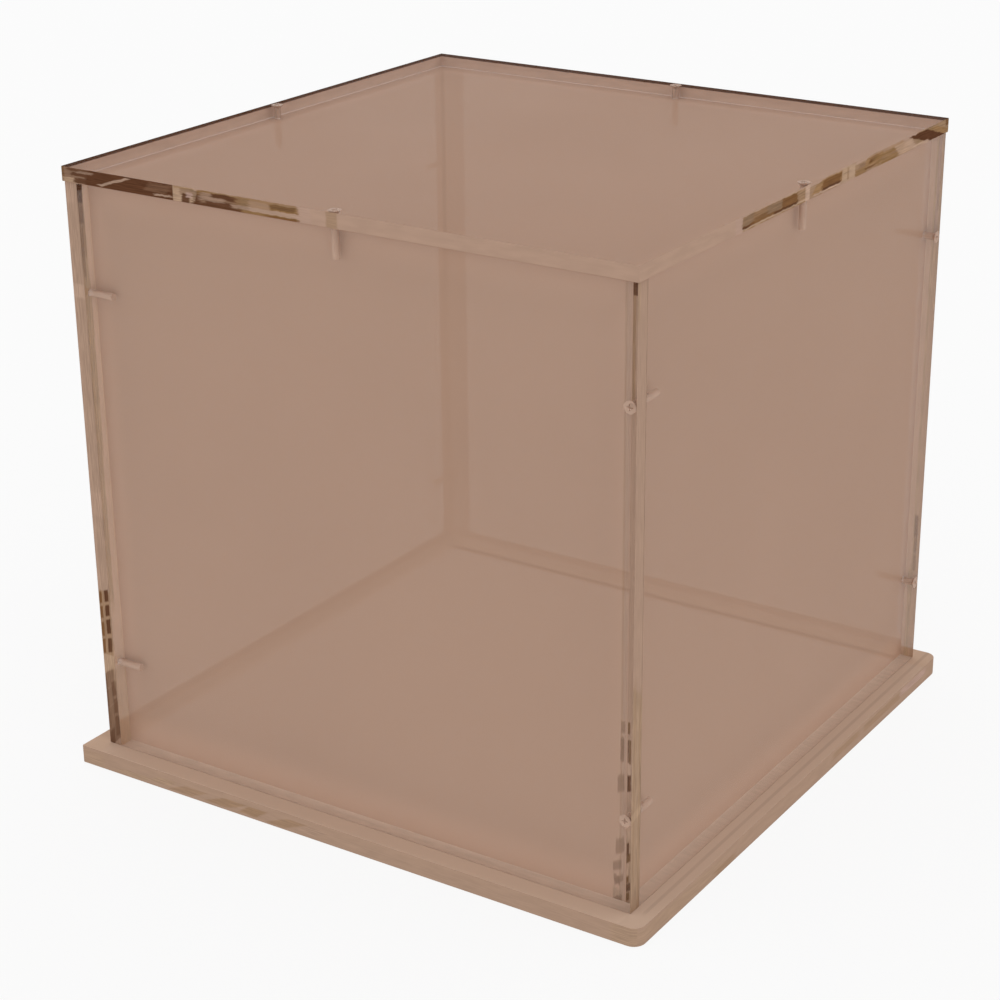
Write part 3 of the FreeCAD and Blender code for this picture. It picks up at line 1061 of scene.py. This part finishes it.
# ---------------------------------------------------------------- the pieces
def make_wall(turn, places):
    name = SIDES[turn] + "_wall"
    low = front_low + Vector((GAP, 0, GAP))
    high = front_high - Vector((0, 0, GAP))
    piece = slab(name + "_pane", low, high)
    piece.data.transform(quarter_turns(turn))
    near = drill(piece, places, *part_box(name))
    outward = quarter_turns(turn).to_3x3() @ Vector((0, -1, 0))
    lengthwise = quarter_turns(turn).to_3x3() @ Vector((1, 0, 0))

    def choose(polygon):
        facing = polygon.normal.dot(outward)
        endwise = polygon.normal.dot(lengthwise)
        if in_hole(polygon, near):
            return hole_wall
        if facing > 0.99:
            return POLISHES[turn]
        if facing < -0.99:
            return WALL_VEILS[turn]
        if endwise > 0.3:
            return EXPOSED_ENDS[turn]
        if endwise < -0.3:
            return BUTT_ENDS[turn]
        if polygon.normal.z < -0.3:
            return FEET[turn]
        if polygon.normal.z > 0.3:
            return top_edge
        return near_polish if facing > 0 else WALL_VEILS[turn]

    paint_faces(piece, choose)
    finish_piece(piece, "cover", name)


def make_lid(places):
    piece = slab("lid_pane", lid_low, lid_high)
    near = drill(piece, places, lid_low, lid_high)

    def choose(polygon):
        if in_hole(polygon, near):
            return hole_wall
        if polygon.normal.z > 0.7:
            return near_polish
        if polygon.normal.z < -0.7:
            return lid_veil
        if abs(polygon.normal.y) > abs(polygon.normal.x):
            return LID_EDGES["front" if polygon.normal.y < 0 else "back"]
        return LID_EDGES["right" if polygon.normal.x > 0 else "left"]

    paint_faces(piece, choose)
    finish_piece(piece, "cover", "lid_panel")


def make_base():
    corners = (
        (BASE_CORNER, lambda point: point.x > 0),
        (BASE_SQUARE_CORNER, lambda point: point.x < 0),
    )
    piece = slab("base_pane", base_low, base_high, corners)

    def choose(polygon):
        if polygon.normal.z > 0.7:
            return base_veil
        if polygon.normal.z < -0.7:
            return base_under
        return base_edge if abs(polygon.normal.y) > abs(polygon.normal.x) else base_side_edge

    paint_faces(piece, choose)
    finish_piece(piece, "base", "base_plate")


def make_screws(places):
    pattern = screw_mesh()
    for node, placement in places:
        mesh = pattern.copy()
        mesh.transform(placement)
        mesh.materials.clear()
        mesh.materials.append(screw_plastic)
        piece = new_object(node + "_clear", mesh)
        finish_piece(piece, "cover", node)


# ---------------------------------------------------------------- stage, light and camera
def make_floor():
    """A pale floor that glows as much as the studio round it, so that it has no horizon."""
    mesh = bpy.data.meshes.new("floor")
    corners = [(-FLOOR_HALF, -FLOOR_HALF, 0), (FLOOR_HALF, -FLOOR_HALF, 0),
               (FLOOR_HALF, FLOOR_HALF, 0), (-FLOOR_HALF, FLOOR_HALF, 0)]
    mesh.from_pydata(corners, [], [(0, 1, 2, 3)])
    floor = new_object("floor", mesh)
    floor.location.z = -FLOOR_DROP
    paint = Paint("pale_floor")
    shader = paint.surface(scaled(PALE, FLOOR_ALBEDO), roughness=0.9, specular=0.0)
    shader.inputs["Emission Color"].default_value = PALE
    shader.inputs["Emission Strength"].default_value = FLOOR_GLOW
    mesh.materials.append(paint.material)


def make_world():
    world = bpy.data.worlds.new("studio")
    world.use_nodes = True
    background = world.node_tree.nodes["Background"]
    background.inputs["Color"].default_value = PALE
    background.inputs["Strength"].default_value = 1.0
    bpy.context.scene.world = world


def make_camera():
    back = Vector((math.sin(CAMERA_AZIMUTH) * math.cos(CAMERA_ELEVATION),
                   -math.cos(CAMERA_AZIMUTH) * math.cos(CAMERA_ELEVATION),
                   math.sin(CAMERA_ELEVATION)))
    data = bpy.data.cameras.new("camera")
    data.lens = CAMERA_LENS
    data.sensor_width = CAMERA_SENSOR
    data.shift_x = CAMERA_SHIFT
    data.clip_start = 0.01
    data.clip_end = 50
    camera = bpy.data.objects.new("camera", data)
    camera.location = CAMERA_TARGET + back * CAMERA_DISTANCE
    camera.rotation_mode = "QUATERNION"
    camera.rotation_quaternion = (-back).to_track_quat("-Z", "Y")
    bpy.context.scene.collection.objects.link(camera)
    bpy.context.scene.camera = camera


screws = screw_places()
for turn in range(4):
    make_wall(turn, screws)
make_lid(screws)
make_base()
make_screws(screws)
make_floor()
make_world()
make_camera()
scene = bpy.context.scene
scene.view_settings.view_transform = "Standard"
scene.view_settings.look = "None"
scene.cycles.use_denoising = True
scene.cycles.transparent_max_bounces = 32
